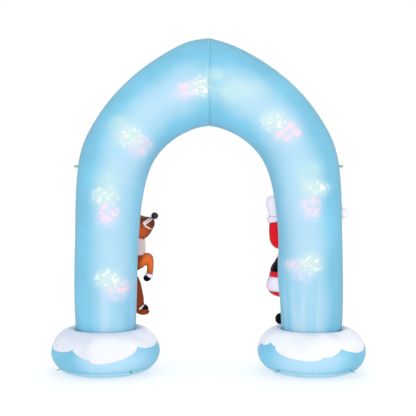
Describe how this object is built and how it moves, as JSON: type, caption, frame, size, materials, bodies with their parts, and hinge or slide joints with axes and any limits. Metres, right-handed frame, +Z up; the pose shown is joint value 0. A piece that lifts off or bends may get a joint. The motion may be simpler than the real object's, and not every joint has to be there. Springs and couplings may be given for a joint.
{
  "type": "inflatable arch",
  "caption": "Air-filled walk-through garden arch with a pointed top on round snow-capped cushions, with a deer and a snowman sewn to its legs.",
  "frame": {"origin": "on the ground in the middle of the footprint", "axes": "+Z up, +X along the span from the deer's leg to the snowman's leg, +Y towards the side that carries the figures"},
  "size_m": [2.5863, 1.0259, 2.74],
  "materials": {
    "pale_blue_cloth": "thin coated polyester, lit softly from inside",
    "white_cloth": "thin coated polyester",
    "brown_cloth": "thin coated polyester",
    "tan_cloth": "thin coated polyester",
    "cream_cloth": "thin coated polyester",
    "red_cloth": "thin coated polyester",
    "black_cloth": "thin coated polyester",
    "orange_cloth": "thin coated polyester",
    "green_webbing": "woven webbing",
    "clear_plastic": "milky moulded plastic"
  },
  "bodies": {
    "root": {"arch_left": "pale_blue_cloth", "arch_right": "pale_blue_cloth", "base_left": "pale_blue_cloth", "base_right": "pale_blue_cloth", "deer_antler_front": "tan_cloth", "deer_antler_rear": "tan_cloth", "deer_body": "brown_cloth", "deer_chest": "cream_cloth", "deer_ear_front": "brown_cloth", "deer_ear_rear": "brown_cloth", "deer_forecuff_front": "white_cloth", "deer_forecuff_rear": "white_cloth", "deer_forehoof_front": "black_cloth", "deer_forehoof_rear": "black_cloth", "deer_foreleg_front": "brown_cloth", "deer_foreleg_rear": "brown_cloth", "deer_head": "brown_cloth", "deer_hindcuff_front": "white_cloth", "deer_hindcuff_rear": "white_cloth", "deer_hindhoof_front": "black_cloth", "deer_hindhoof_rear": "black_cloth", "deer_hindleg_front": "brown_cloth", "deer_hindleg_rear": "brown_cloth", "deer_nose": "black_cloth", "deer_tail": "brown_cloth", "snow_left": "white_cloth", "snow_right": "white_cloth", "snowman_band": "white_cloth", "snowman_belt": "black_cloth", "snowman_boot_left": "black_cloth", "snowman_boot_right": "black_cloth", "snowman_cap": "red_cloth", "snowman_coat": "red_cloth", "snowman_cuff_left": "white_cloth", "snowman_cuff_right": "white_cloth", "snowman_head": "white_cloth", "snowman_leg_left": "red_cloth", "snowman_leg_right": "red_cloth", "snowman_mitten_left": "white_cloth", "snowman_mitten_right": "white_cloth", "snowman_nose": "orange_cloth", "snowman_pompom": "white_cloth", "snowman_skirt": "red_cloth", "snowman_sleeve_left": "red_cloth", "snowman_sleeve_right": "red_cloth", "snowman_trim": "white_cloth", "snowman_trousers": "red_cloth", "stake_left_inner_ring": "clear_plastic", "stake_left_inner_strap": "green_webbing", "stake_left_outer_ring": "clear_plastic", "stake_left_outer_strap": "green_webbing", "stake_right_inner_ring": "clear_plastic", "stake_right_inner_strap": "green_webbing", "stake_right_outer_ring": "clear_plastic", "stake_right_outer_strap": "green_webbing", "tether_left_ring": "clear_plastic", "tether_left_strap": "green_webbing", "tether_right_ring": "clear_plastic", "tether_right_strap": "green_webbing"}
  },
  "joints": []
}
